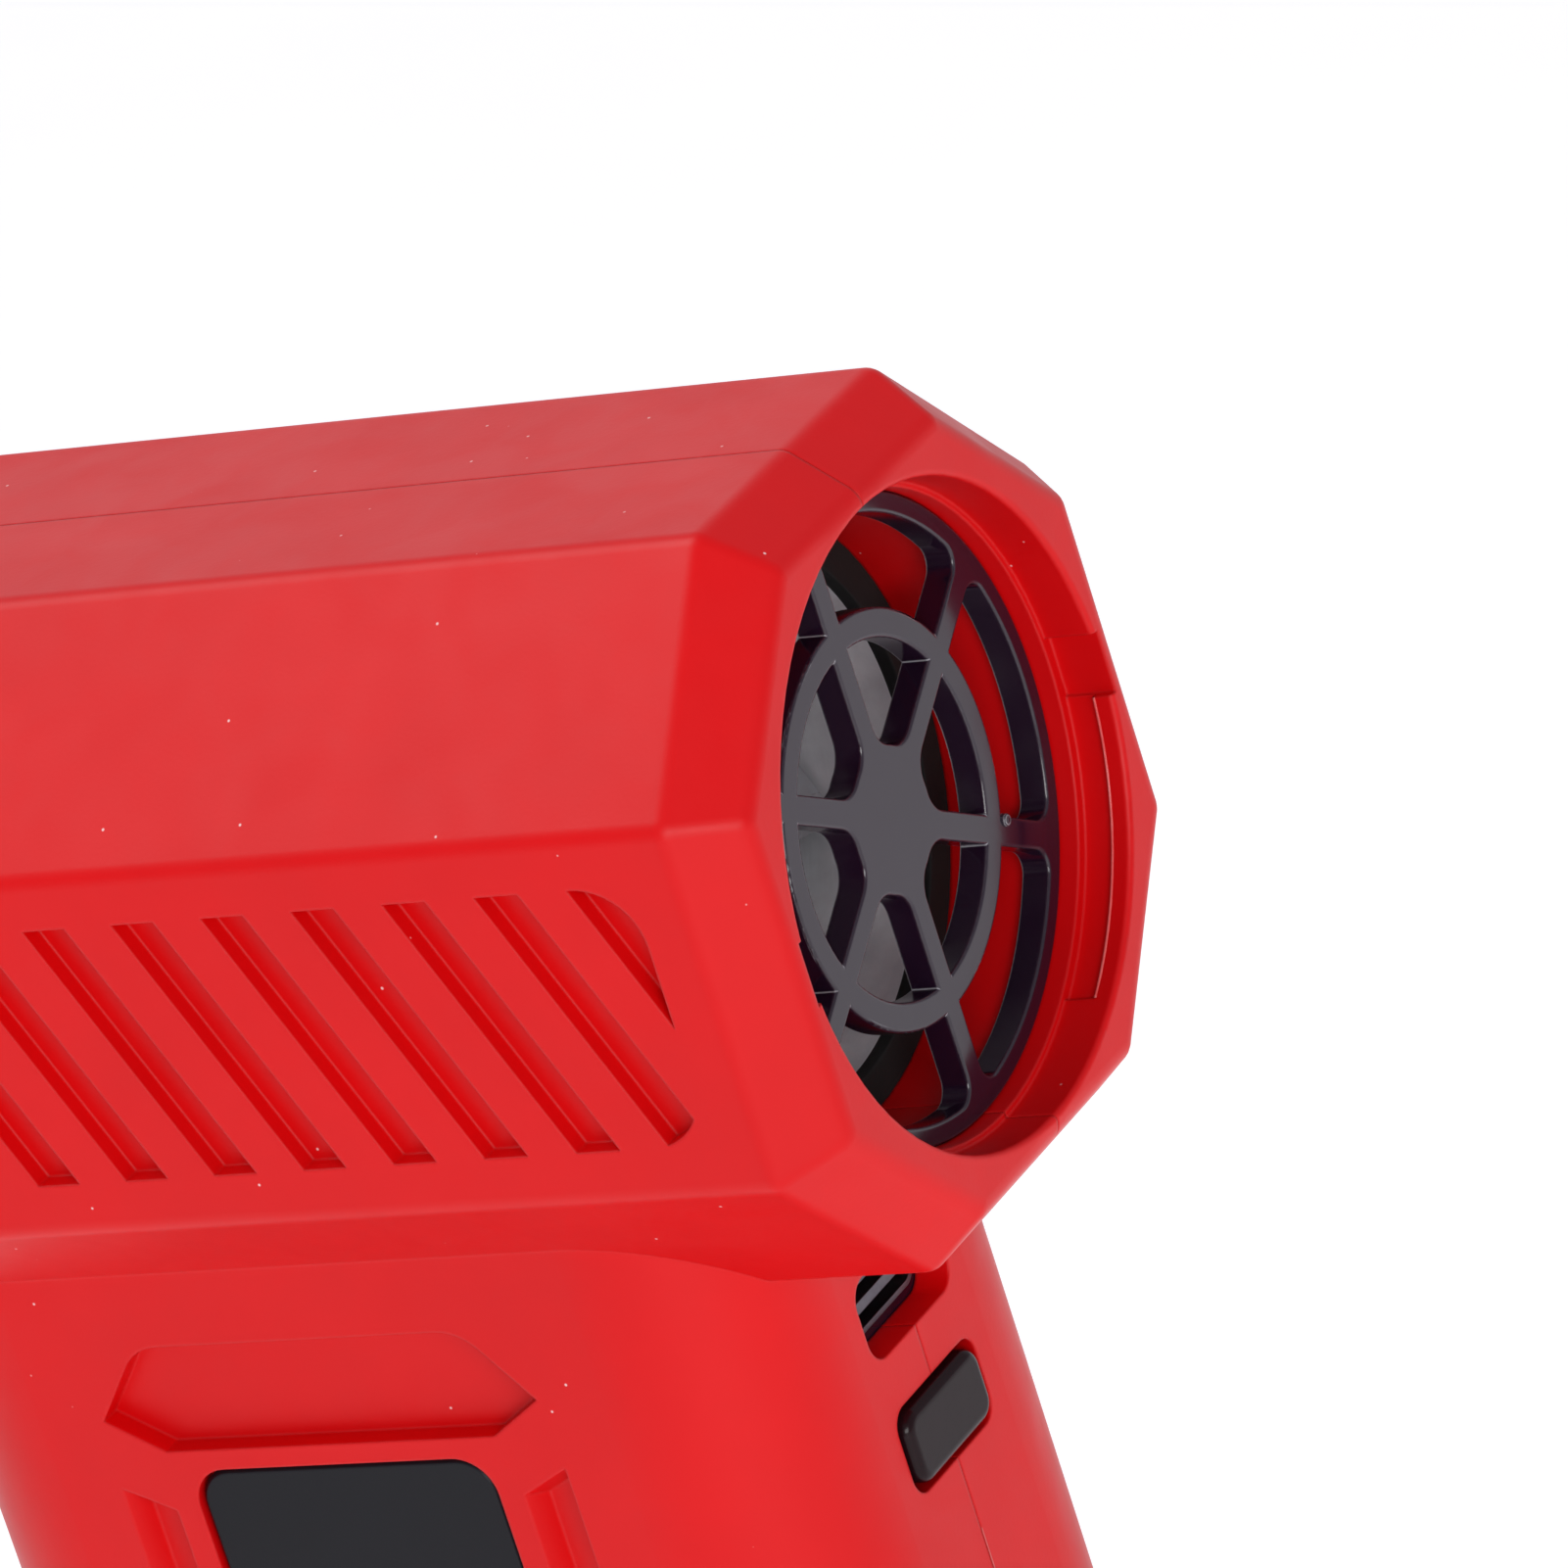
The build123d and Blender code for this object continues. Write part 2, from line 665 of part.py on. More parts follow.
with BuildPart() as tail_cone:
    tail_start = rear_end + vane_start + vane_length + part_gap
    with BuildSketch(Plane.XZ):
        with BuildLine():
            end = tail_start + tail_length
            Line((tail_start, axis_height + sleeve_inner + 0.1), (tail_start, axis_height + sleeve_outer))
            Spline((tail_start, axis_height + sleeve_outer), (end, axis_height + tail_tip_radius),
                   tangents=((1, 0), (0.6, -0.8)))
            Line((end, axis_height + tail_tip_radius), (end, axis_height))
            Line((end, axis_height), (end - 1.2, axis_height))
            Line((end - 1.2, axis_height), (end - 1.2, axis_height + tail_tip_radius - 0.6))
            Spline((end - 1.2, axis_height + tail_tip_radius - 0.6),
                   (tail_start, axis_height + sleeve_inner + 0.1),
                   tangents=((-0.6, 0.8), (-1, 0)))
        make_face()
    revolve(axis=barrel_axis)
    add(lead_slot.part, mode=Mode.SUBTRACT)
save(tail_cone, "tail_cone")

# ================================================================ outlet duct and nozzle
outlet_start = duct_start + duct_length + part_gap
outlet_end = barrel_length - spigot_length - free_gap
with BuildPart() as outlet_duct:
    with BuildSketch(Plane.XZ):
        with BuildLine():
            start_x = rear_end + outlet_start
            end_x = rear_end + outlet_end
            settle_x = start_x + 22
            Line((start_x, axis_height + duct_outer), (start_x, axis_height + duct_radius))
            Spline((start_x, axis_height + duct_radius), (settle_x, axis_height + outlet_radius),
                   tangents=((1, 0), (1, 0)))
            Line((settle_x, axis_height + outlet_radius), (end_x, axis_height + outlet_radius))
            Polyline((end_x, axis_height + outlet_radius),
                     (end_x, axis_height + outlet_bore - part_gap),
                     (end_x - duct_wall, axis_height + outlet_bore - part_gap),
                     (end_x - duct_wall, axis_height + outlet_wall_radius),
                     (settle_x, axis_height + outlet_wall_radius))
            Spline((settle_x, axis_height + outlet_wall_radius), (start_x, axis_height + duct_outer),
                   tangents=((-1, 0), (-1, 0)))
        make_face()
    revolve(axis=barrel_axis)
save(outlet_duct, "outlet_duct")

with BuildPart() as nozzle:
    root = front_end + free_gap
    tip = front_end + nozzle_length
    spigot = front_end - spigot_length
    spigot_outer = outlet_bore - free_gap
    with BuildSketch(Plane.XZ):
        with BuildLine():
            Polyline((spigot, axis_height + outlet_radius), (spigot, axis_height + spigot_outer),
                     (root, axis_height + spigot_outer), (root, axis_height + nozzle_root_radius),
                     (root + 7, axis_height + nozzle_root_radius),
                     (tip, axis_height + nozzle_tip_radius), (tip, axis_height + nozzle_tip_bore),
                     (root + 4, axis_height + outlet_radius), close=True)
        make_face()
    revolve(axis=barrel_axis)
    with BuildSketch(across(barrel_length - spigot_length)):
        with PolarLocations(spigot_outer + lug_height / 2 - 0.3, lug_count, start_angle=90):
            Rectangle(lug_height + 0.6, lug_width)
    extrude(amount=lug_thickness)
    with BuildSketch(across(barrel_length + free_gap + 1.2)):
        with PolarLocations(nozzle_root_radius, nozzle_rib_count, start_angle=5):
            Rectangle(1.0, 1.6)
    extrude(amount=4.6)
    fillet(nozzle.edges().filter_by(GeomType.CIRCLE).sort_by(Axis.X)[-1], radius=0.8)
save(nozzle, "nozzle")

# ================================================================ rear controls
with BuildPart() as power_button:
    with BuildSketch(rear.offset(-button_proud)):
        with Locations((0, button_height)):
            RectangleRounded(button_width, button_tall, button_corner)
    extrude(amount=button_proud + wall + free_gap + flange_thickness)
    fillet(power_button.faces().sort_by(Axis.X)[0].edges(), radius=button_round)
    with BuildSketch(rear.offset(wall + free_gap)):
        with Locations((0, button_height)):
            RectangleRounded(button_width + 2 * button_flange, button_tall + 2 * button_flange,
                             button_corner)
    extrude(amount=flange_thickness)
save(power_button, "power_button")

flange_back = -handle_length / 2 + wall + free_gap + flange_thickness
switch_front = board_x - switch_body_height - part_gap
with BuildPart() as switch_plunger:
    with BuildSketch(Plane(origin=(flange_back, 0, button_height), x_dir=(0, 1, 0), z_dir=(1, 0, 0))):
        Circle(plunger_radius)
    extrude(amount=switch_front + 0.4 - flange_back)
save(switch_plunger, "switch_plunger")

with BuildPart() as switch_body:
    with BuildSketch(Plane(origin=(switch_front, 0, button_height), x_dir=(0, 1, 0), z_dir=(1, 0, 0))):
        Rectangle(switch_size, switch_size)
    extrude(amount=switch_body_height)
    with BuildSketch(Plane(origin=(switch_front, 0, button_height), x_dir=(0, 1, 0), z_dir=(1, 0, 0))):
        Circle(plunger_radius + free_gap)
    extrude(amount=0.4 + button_travel + 0.4, mode=Mode.SUBTRACT)
save(switch_body, "switch_body")

with BuildPart() as port_surround:
    with BuildSketch(rear.offset(wall + part_gap / 2)):
        with Locations((0, port_height)):
            RectangleRounded(port_width + 2 * surround_lap, port_tall + 2 * surround_lap,
                             port_corner + surround_lap)
            RectangleRounded(socket_width + 2 * part_gap, socket_tall + 2 * part_gap,
                             socket_tall / 2, mode=Mode.SUBTRACT)
    extrude(amount=surround_thickness)
save(port_surround, "port_surround")

socket_back = board_x - part_gap
with BuildPart() as usb_socket:
    with BuildSketch(Plane(origin=(socket_back, 0, port_height), x_dir=(0, 1, 0), z_dir=(-1, 0, 0))):
        RectangleRounded(socket_width, socket_tall, socket_tall / 2 - 0.05)
    extrude(amount=socket_length)
    with BuildSketch(Plane(origin=(socket_back - 1, 0, port_height), x_dir=(0, 1, 0), z_dir=(-1, 0, 0))):
        RectangleRounded(socket_width - 2 * socket_wall, socket_tall - 2 * socket_wall,
                         socket_tall / 2 - socket_wall - 0.05)
        Rectangle(socket_width - 2.4, 0.7, mode=Mode.SUBTRACT)
    extrude(amount=socket_length, mode=Mode.SUBTRACT)
save(usb_socket, "usb_socket")

with BuildPart() as control_board:
    with BuildSketch(Plane(origin=(board_x, 0, 0), x_dir=(0, 1, 0), z_dir=(1, 0, 0))):
        with Locations((0, (board_bottom + board_top) / 2)):
            Rectangle(board_width, board_top - board_bottom)
    extrude(amount=board_thickness)
    with BuildSketch(Plane(origin=(board_x + board_thickness, 0, 0), x_dir=(0, 1, 0), z_dir=(1, 0, 0))):
        with Locations((-6, port_height), (0, port_height), (6, port_height)):
            Rectangle(4.2, 4.8)
        with Locations((0, button_height)):
            Rectangle(7.0, 7.0)
    extrude(amount=1.2)
save(control_board, "control_board")

with BuildPart() as board_capacitor:
    with BuildSketch(Plane(origin=(board_x + board_thickness + 1.3 + capacitor_radius, -capacitor_length / 2,
                                   button_height + 3.6), x_dir=(1, 0, 0), z_dir=(0, 1, 0))):
        Circle(capacitor_radius)
    extrude(amount=capacitor_length)
    fillet(board_capacitor.edges().filter_by(GeomType.CIRCLE), radius=0.5)
save(board_capacitor, "board_capacitor")

# ================================================================ battery
row = [(index - (cell_count - 1) / 2) * cell_pitch for index in range(cell_count)]
lead_taps = [(row[0] + 5.0, 2.4), (row[-1] - 5.0, -2.4)]
for index, x in enumerate(row):
    with BuildPart() as cell:
        with BuildSketch(Plane.XY.offset(cell_bottom)):
            with Locations((x, 0)):
                Circle(cell_radius)
        extrude(amount=cell_length)
        fillet(cell.edges().filter_by(GeomType.CIRCLE), radius=0.8)
    save(cell, f"battery_cell_{index + 1}")

for name, outer_face, inwards in (("cell_holder_bottom", cell_bottom - strip_thickness - holder_plate, 1),
                                  ("cell_holder_top", holder_top, -1)):
    with BuildPart() as holder:
        with BuildSketch(Plane.XY.offset(outer_face)):
            RectangleRounded(handle_length - 2 * wall - 2 * part_gap, handle_width - 2 * wall - 2 * part_gap,
                             handle_corner - wall)
        extrude(amount=inwards * (holder_plate + strip_thickness + holder_lip))
        with BuildSketch(Plane.XY.offset(outer_face + inwards * holder_plate)):
            with Locations(*[(x, 0) for x in row]):
                Circle(cell_radius + part_gap)
        extrude(amount=inwards * (strip_thickness + holder_lip), mode=Mode.SUBTRACT)
        if inwards < 0:
            with BuildSketch(Plane.XY.offset(outer_face)):
                with Locations(*lead_taps):
                    Circle(battery_lead_radius + part_gap)
            extrude(amount=-holder_plate, mode=Mode.SUBTRACT)
    save(holder, name)

with BuildPart() as nickel_strips:
    for level in (cell_bottom - strip_thickness + 0.02, cell_top + 0.02):
        for x in row:
            with BuildSketch(Plane.XY.offset(level)):
                with Locations((x, 0)):
                    Rectangle(strip_width * 1.6, strip_width)
            extrude(amount=strip_thickness - 0.04)
save(nickel_strips, "nickel_strips")

# ================================================================ side panels, pad, screws
for hand, way in (("left", 1), ("right", -1)):
    with BuildPart() as side_panel:
        face = Plane(origin=(0, way * (handle_width / 2 - panel_pocket + 0.02), panel_base + panel_height / 2),
                     x_dir=(1, 0, 0), z_dir=(0, way, 0))
        with BuildSketch(face):
            RectangleRounded(panel_width - 2 * part_gap - 0.2, panel_height - 2 * part_gap - 0.2,
                             panel_corner - 0.2)
        extrude(amount=panel_thickness)
        outer = side_panel.faces().sort_by(Axis.Y)[-1 if way > 0 else 0]
        chamfer(outer.edges(), length=0.25)
        pegs = Plane(origin=(0, way * (handle_width / 2 - panel_pocket + 0.02), 0),
                     x_dir=(1, 0, 0), z_dir=(0, -way, 0))
        with BuildSketch(pegs):
            with Locations((0, (panel_base + 12) * way), (0, (panel_base + panel_height - 10) * way)):
                Circle(1.5)
        extrude(amount=wall)
    save(side_panel, f"side_panel_{hand}")

with BuildPart() as base_pad:
    with BuildSketch(Plane.XY):
        RectangleRounded(handle_length - 2 * pad_inset - 2 * part_gap,
                         handle_width - 2 * pad_inset - 2 * part_gap, handle_corner - pad_inset)
    extrude(amount=pad_thickness - 0.02)
    chamfer(base_pad.faces().sort_by(Axis.Z)[0].edges(), length=0.3)
save(base_pad, "base_pad")

with BuildPart() as shell_screws:
    for x, z in screw_places:
        reach = half_width if z > barrel_bottom else handle_width / 2
        seat = Plane(origin=(x, -reach / 2, z), x_dir=(1, 0, 0), z_dir=(0, 1, 0))
        with BuildSketch(seat):
            Circle(screw_radius)
        extrude(amount=reach / 2 + boss_depth - 0.5)
        with BuildSketch(seat):
            Circle(screw_head_radius)
        extrude(amount=-screw_head_height)
save(shell_screws, "shell_screws")

# ================================================================ internal wires
board_front = board_x + board_thickness + part_gap
with BuildPart() as motor_leads:
    level = holder_top + board_height - 2.2
    for index in range(lead_count):
        y = (index - (lead_count - 1) / 2) * lead_pitch
        with BuildLine() as route:
            FilletPolyline((board_front, y, level), (lead_x, y, level),
                           (lead_x, y, axis_height - motor_radius + 2), radius=lead_bend)
        with BuildSketch(Plane(origin=(board_front, y, level), x_dir=(0, 1, 0), z_dir=(1, 0, 0))):
            Circle(lead_radius)
        sweep(path=route.wires()[0])
save(motor_leads, "motor_leads")

with BuildPart() as battery_leads:
    for (x, y), side_y in zip(lead_taps, (9.0, -9.0)):
        low = holder_top + battery_lead_radius + 0.9
        high = button_height + 4.0
        turn_x = board_front + 2.8
        points = [(x, y, cell_top + strip_thickness + part_gap), (x, y, low), (x, side_y, low),
                  (turn_x, side_y, low), (turn_x, side_y, high), (board_front, side_y, high)]
        with BuildLine() as route:
            FilletPolyline(*points, radius=lead_bend)
        with BuildSketch(Plane(origin=points[0], x_dir=(1, 0, 0), z_dir=(0, 0, 1))):
            Circle(battery_lead_radius)
        sweep(path=route.wires()[0])
save(battery_leads, "battery_leads")
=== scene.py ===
"""Looks of the handheld turbo blower: materials, fine pieces, floor, light and camera."""
import json
import math

import bmesh
import bpy
from mathutils import Matrix, Quaternion, Vector


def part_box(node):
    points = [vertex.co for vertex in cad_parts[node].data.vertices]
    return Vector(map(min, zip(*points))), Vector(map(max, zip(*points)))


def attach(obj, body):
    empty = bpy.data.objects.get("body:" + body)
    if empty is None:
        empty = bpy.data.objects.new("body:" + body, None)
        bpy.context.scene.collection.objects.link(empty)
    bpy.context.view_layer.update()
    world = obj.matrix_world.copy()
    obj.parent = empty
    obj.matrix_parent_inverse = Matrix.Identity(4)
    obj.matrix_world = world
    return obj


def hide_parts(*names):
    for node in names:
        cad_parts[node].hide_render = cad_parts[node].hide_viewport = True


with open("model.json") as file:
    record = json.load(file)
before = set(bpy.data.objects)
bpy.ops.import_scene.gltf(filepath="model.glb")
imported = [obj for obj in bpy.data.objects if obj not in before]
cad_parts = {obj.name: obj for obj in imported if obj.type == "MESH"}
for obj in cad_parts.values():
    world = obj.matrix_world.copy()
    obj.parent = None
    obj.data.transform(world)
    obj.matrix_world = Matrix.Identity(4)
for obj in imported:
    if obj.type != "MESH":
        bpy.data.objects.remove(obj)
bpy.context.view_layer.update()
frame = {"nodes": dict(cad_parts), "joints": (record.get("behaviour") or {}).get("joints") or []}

MM = 0.001


# ---------------------------------------------------------------- places read from the frame
spin = next(joint for joint in frame["joints"] if joint["name"] == "impeller_spin")
AXIS_HEIGHT = spin["pos_m"][2]
rim = Vector((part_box("left_shell")[0][0], 0, AXIS_HEIGHT))


# ---------------------------------------------------------------- helpers
def linear(hex_code):
    """An sRGB hex colour as the linear values that shaders take."""
    channels = [int(hex_code[place:place + 2], 16) / 255 for place in (1, 3, 5)]
    return [c / 12.92 if c <= 0.04045 else ((c + 0.055) / 1.055) ** 2.4 for c in channels] + [1.0]


def put(tree, kind, sockets=None, **settings):
    """Adds one node: settings are its properties, sockets its inputs, as values or as outputs to link."""
    node = tree.nodes.new("ShaderNode" + kind)
    for name, value in settings.items():
        setattr(node, name, value)
    for name, value in (sockets or {}).items():
        if isinstance(value, bpy.types.NodeSocket):
            tree.links.new(value, node.inputs[name])
        else:
            node.inputs[name].default_value = value
    return node


def surface(name, **sockets):
    """A new material: its node tree, its shader and the object coordinates that its patterns read."""
    material = bpy.data.materials.new(name)
    material.use_nodes = True
    tree = material.node_tree
    shader = tree.nodes["Principled BSDF"]
    for socket, value in sockets.items():
        shader.inputs[socket.replace("_", " ")].default_value = value
    place = put(tree, "TexCoord").outputs["Object"]
    return material, tree, shader, place


def per_metre(size_mm):
    """Pattern scale whose features are this many millimetres apart."""
    return 1 / (size_mm * MM)


# ---------------------------------------------------------------- materials
CLOUD_MM, SMEAR_MM, STAIN_MM = 14.0, 5.0, 4.0      # spread of the pigment's clouds, of smears and of stains
SMEAR_DULLING, LINE_DULLING = 0.035, 0.08          # how far they turn the roughness, either way
DUST_MM, DUST_SPARED, DUST_COLOUR = 2.0, 0.72, "#F2D8D6"   # spacing, share left clean, colour


def moulded(name, colour, wear_and_highlight_colour, grain_mm, grain_depth_mm, edge_mm=0.25, wear_and_highlight_amount=0.3, fleck=0.0, cloud=0.5,
            **sockets):
    """Injection-moulded plastic: an even pigment with a faint cloud in it, the grain of the mould's
    surface, edges that the mould's polish leaves round and that are painted paler, as rubbing wear
    on most finishes and as a painted highlight on the polished black, the satin black and the burr,
    and dust caught in the grain."""
    material, tree, shader, place = surface(name, **sockets)
    rough = shader.inputs["Roughness"].default_value
    clouds = put(tree, "TexNoise", {"Vector": place, "Scale": per_metre(CLOUD_MM), "Detail": 3.0,
                                    "Roughness": 0.6})
    grain = put(tree, "TexNoise", {"Vector": place, "Scale": per_metre(grain_mm), "Detail": 2.0})
    smear = put(tree, "TexNoise", {"Vector": place, "Scale": per_metre(SMEAR_MM), "Detail": 4.0,
                                   "Distortion": 0.6})
    tone = put(tree, "MapRange", {"Value": clouds.outputs["Fac"], "From Min": 0.3, "From Max": 0.7,
                                  "To Min": 1 - 0.09 * cloud, "To Max": 1 + 0.06 * cloud})
    pigment = put(tree, "VectorMath", {0: linear(colour)[:3], "Scale": tone.outputs["Result"]},
                  operation="SCALE")
    # rounded edge, seen as the angle between the softened normal and the flat one
    soft = put(tree, "Bevel", {"Radius": edge_mm * MM}, samples=6)
    flat = put(tree, "NewGeometry")
    lean = put(tree, "VectorMath", {0: soft.outputs["Normal"], 1: flat.outputs["Normal"]},
               operation="DOT_PRODUCT")
    edge = put(tree, "MapRange", {"Value": lean.outputs["Value"], "From Min": 0.995, "From Max": 0.90,
                                  "To Min": 0.0, "To Max": wear_and_highlight_amount})
    # paler edges: rubbing wear on most finishes, a painted highlight on the polished black, the satin black
    # and the burr
    wear_and_highlight_mask = put(tree, "Math", {0: edge.outputs["Result"], 1: smear.outputs["Fac"]}, operation="MULTIPLY")
    coloured = put(tree, "Mix", {"Factor": wear_and_highlight_mask.outputs["Value"], 6: pigment.outputs["Vector"],
                                 7: linear(wear_and_highlight_colour)}, data_type="RGBA")
    last = coloured.outputs[2]
    if fleck:
        # specks of dust about 0.2 mm across, at the hearts of some of the cells of a coarse pattern
        dust = put(tree, "TexVoronoi", {"Vector": place, "Scale": per_metre(DUST_MM), "Randomness": 1.0})
        speck = put(tree, "MapRange", {"Value": dust.outputs["Distance"], "From Min": 0.03, "From Max": 0.06,
                                       "To Min": fleck, "To Max": 0.0})
        chosen = put(tree, "SeparateColor", {"Color": dust.outputs["Color"]})
        few = put(tree, "Math", {0: chosen.outputs["Red"], 1: DUST_SPARED}, operation="GREATER_THAN")
        shown = put(tree, "Math", {0: speck.outputs["Result"], 1: few.outputs["Value"]}, operation="MULTIPLY")
        last = put(tree, "Mix", {"Factor": shown.outputs["Value"], 6: last, 7: linear(DUST_COLOUR)},
                   data_type="RGBA").outputs[2]
    tree.links.new(last, shader.inputs["Base Color"])
    patchy = put(tree, "MapRange", {"Value": smear.outputs["Fac"], "From Min": 0.3, "From Max": 0.7,
                                    "To Min": rough - SMEAR_DULLING, "To Max": rough + SMEAR_DULLING})
    tree.links.new(patchy.outputs["Result"], shader.inputs["Roughness"])
    bump = put(tree, "Bump", {"Height": grain.outputs["Fac"], "Distance": grain_depth_mm * MM, "Strength": 1.0,
                              "Normal": soft.outputs["Normal"]})
    tree.links.new(bump.outputs["Normal"], shader.inputs["Normal"])
    return material


def machined(name, colour, stretch, line_mm, depth_mm, tint="#5A5C60", edge_mm=0.1, **sockets):
    """Metal with the fine lines that its tool left: noise stretched along the lines, which also turns
    the shine, and faint stains. Bare unless Metallic says otherwise."""
    sockets.setdefault("Metallic", 1.0)
    material, tree, shader, place = surface(name, **sockets)
    rough = shader.inputs["Roughness"].default_value
    along = put(tree, "Mapping", {"Vector": place, "Scale": stretch})
    lines = put(tree, "TexNoise", {"Vector": along.outputs["Vector"], "Scale": per_metre(line_mm),
                                   "Detail": 3.0})
    stain = put(tree, "TexNoise", {"Vector": place, "Scale": per_metre(STAIN_MM), "Detail": 4.0})
    shade = put(tree, "MapRange", {"Value": stain.outputs["Fac"], "From Min": 0.35, "From Max": 0.75,
                                   "To Min": 0.0, "To Max": 0.45})
    coloured = put(tree, "Mix", {"Factor": shade.outputs["Result"], 6: linear(colour), 7: linear(tint)},
                   data_type="RGBA")
    tree.links.new(coloured.outputs[2], shader.inputs["Base Color"])
    drawn = put(tree, "MapRange", {"Value": lines.outputs["Fac"], "From Min": 0.3, "From Max": 0.7,
                                   "To Min": rough - LINE_DULLING, "To Max": rough + LINE_DULLING})
    tree.links.new(drawn.outputs["Result"], shader.inputs["Roughness"])
    soft = put(tree, "Bevel", {"Radius": edge_mm * MM}, samples=4)
    bump = put(tree, "Bump", {"Height": lines.outputs["Fac"], "Distance": depth_mm * MM, "Strength": 1.0,
                              "Normal": soft.outputs["Normal"]})
    tree.links.new(bump.outputs["Normal"], shader.inputs["Normal"])
    return material


# ABS, moulded in a spark-eroded tool: satin, a fine even grain, colour all the way through.
# The grain is 0.12 mm in the tool and drawn at 0.3 mm, the finest that shows.
red_abs = moulded("red_abs_spark_grain", "#D20207", "#E8403E", 0.3, 0.006, edge_mm=0.3, wear_and_highlight_amount=0.25, fleck=0.75,
                  Roughness=0.42, IOR=1.5, Specular_IOR_Level=0.25)
# The same ABS drawn out to a thin burr where the tool's slide closed: shiny, with pale pink patches painted
# along it as its glints (painted highlight).
burr_abs_painted_glints = moulded("red_abs_burr_painted_glints", "#D20207", "#F49A96", 0.8, 0.03, edge_mm=0.2, wear_and_highlight_amount=1.3,
                     Roughness=0.22, IOR=1.5)
# ABS from a polished tool: black, near a mirror, with the slight waviness of a thin moulding and a thin
# pale line painted on every edge as a painted highlight.
gloss_abs = moulded("black_abs_polished", "#1F0F20", "#D4D4DA", 1.6, 0.004, edge_mm=0.16, wear_and_highlight_amount=1.4, cloud=1.0,
                    Roughness=0.16, IOR=1.5)
# The same ABS from a tool that is only ground: a softer shine, a little browner under the finger.
button_abs = moulded("black_abs_ground", "#1C0C10", "#4A4044", 0.8, 0.004, edge_mm=0.12, cloud=1.0, fleck=0.2,
                     Roughness=0.2, IOR=1.45, Specular_IOR_Level=0.2)
# Polycarbonate blend with a fine matt finish: soft grey sheen, edges painted a shade lighter as a painted
# highlight.
satin_pc = moulded("black_polycarbonate_satin", "#101016", "#4A4A50", 0.25, 0.004, edge_mm=0.2, cloud=1.0,
                   fleck=0.12, Roughness=0.34, IOR=1.5, Specular_IOR_Level=0.2)
# Silicone rubber, pressed: dull black, a powdery bloom.
rubber = moulded("black_silicone_rubber", "#141414", "#3C3C3C", 0.4, 0.02, edge_mm=0.3, cloud=2.0,
                 Roughness=0.75, IOR=1.43)
# Nylon cage, moulded white: slightly warm and waxy.
nylon = moulded("white_nylon_moulded", "#DAD8D0", "#F4F3EE", 0.35, 0.006, edge_mm=0.25, cloud=1.0,
                Roughness=0.45, IOR=1.53)
# Heat-shrink PVC round a cell: smooth, glossy, a faint shrink ripple.
shrink_wrap = moulded("pvc_shrink_wrap", "#1F6FA8", "#6FA6CC", 2.2, 0.03, edge_mm=0.4, cloud=1.5,
                      Roughness=0.28, IOR=1.54)
# Silicone-sheathed wire, drawn: smooth and slightly soft in its shine.
wire_sheath = moulded("silicone_wire_sheath", "#B02A20", "#D66A60", 0.5, 0.008, edge_mm=0.1, cloud=1.5,
                      Roughness=0.5, IOR=1.43)
# Glass-fibre laminate under green solder resist: a weave ripple beneath a glossy coat.
resist = moulded("glass_laminate_solder_resist", "#0B4A2A", "#7C8F5A", 0.5, 0.01, edge_mm=0.1, cloud=2.0,
                 Roughness=0.3, IOR=1.55)

# Aluminium, turned and milled: pale, with fine lines across the blades.
aluminium = machined("aluminium_milled", "#C9CBCE", (1.0, 0.08, 0.08), 0.25, 0.01, Roughness=0.34)
# Aluminium tube, bored and brushed inside: lines that run round it under a thin white bloom of oxide,
# which scatters the light that comes in at the mouth.
brushed_tube = machined("aluminium_brushed_bore", "#F0F0F3", (1.0, 0.06, 0.06), 0.22, 0.02, tint="#8E8E96",
                        Roughness=0.6, Metallic=0.4)
# Tin plate under black passivation: a dark, tight sheen.
black_plate = machined("black_passivated_steel", "#6E6A72", (1.0, 1.0, 1.0), 0.4, 0.004, tint="#3A383E",
                       Roughness=0.38)
# Steel, ground on the outside: greyer, tight lines round the axis.
steel = machined("steel_ground", "#A9AAAD", (1.0, 0.1, 0.1), 0.15, 0.004, tint="#6A6A6C", Roughness=0.28)
# Neodymium iron boron under nickel plate: bright, nearly smooth.
plated_magnet = machined("nickel_plated_magnet", "#B4B0A8", (1.0, 1.0, 1.0), 0.6, 0.004, tint="#8A867E",
                         Roughness=0.22)
# Silicon-steel sheets, stamped and stacked: a line every 0.35 mm along the axis.
laminations = machined("silicon_steel_laminations", "#7A7B80", (1.0, 0.02, 0.02), 0.35, 0.03, tint="#3F4046",
                       Roughness=0.42)
# Enamelled copper wire, wound: warm, varnished, ribbed by its turns.
copper = machined("enamelled_copper_winding", "#B4602C", (0.05, 1.0, 1.0), 0.5, 0.06, tint="#7A3A18",
                  Roughness=0.3)
# Nickel strip, rolled: grey-white with long rolling lines.
nickel = machined("nickel_strip_rolled", "#B9B6AE", (0.05, 1.0, 1.0), 0.2, 0.003, tint="#8E8B84",
                  Roughness=0.3)

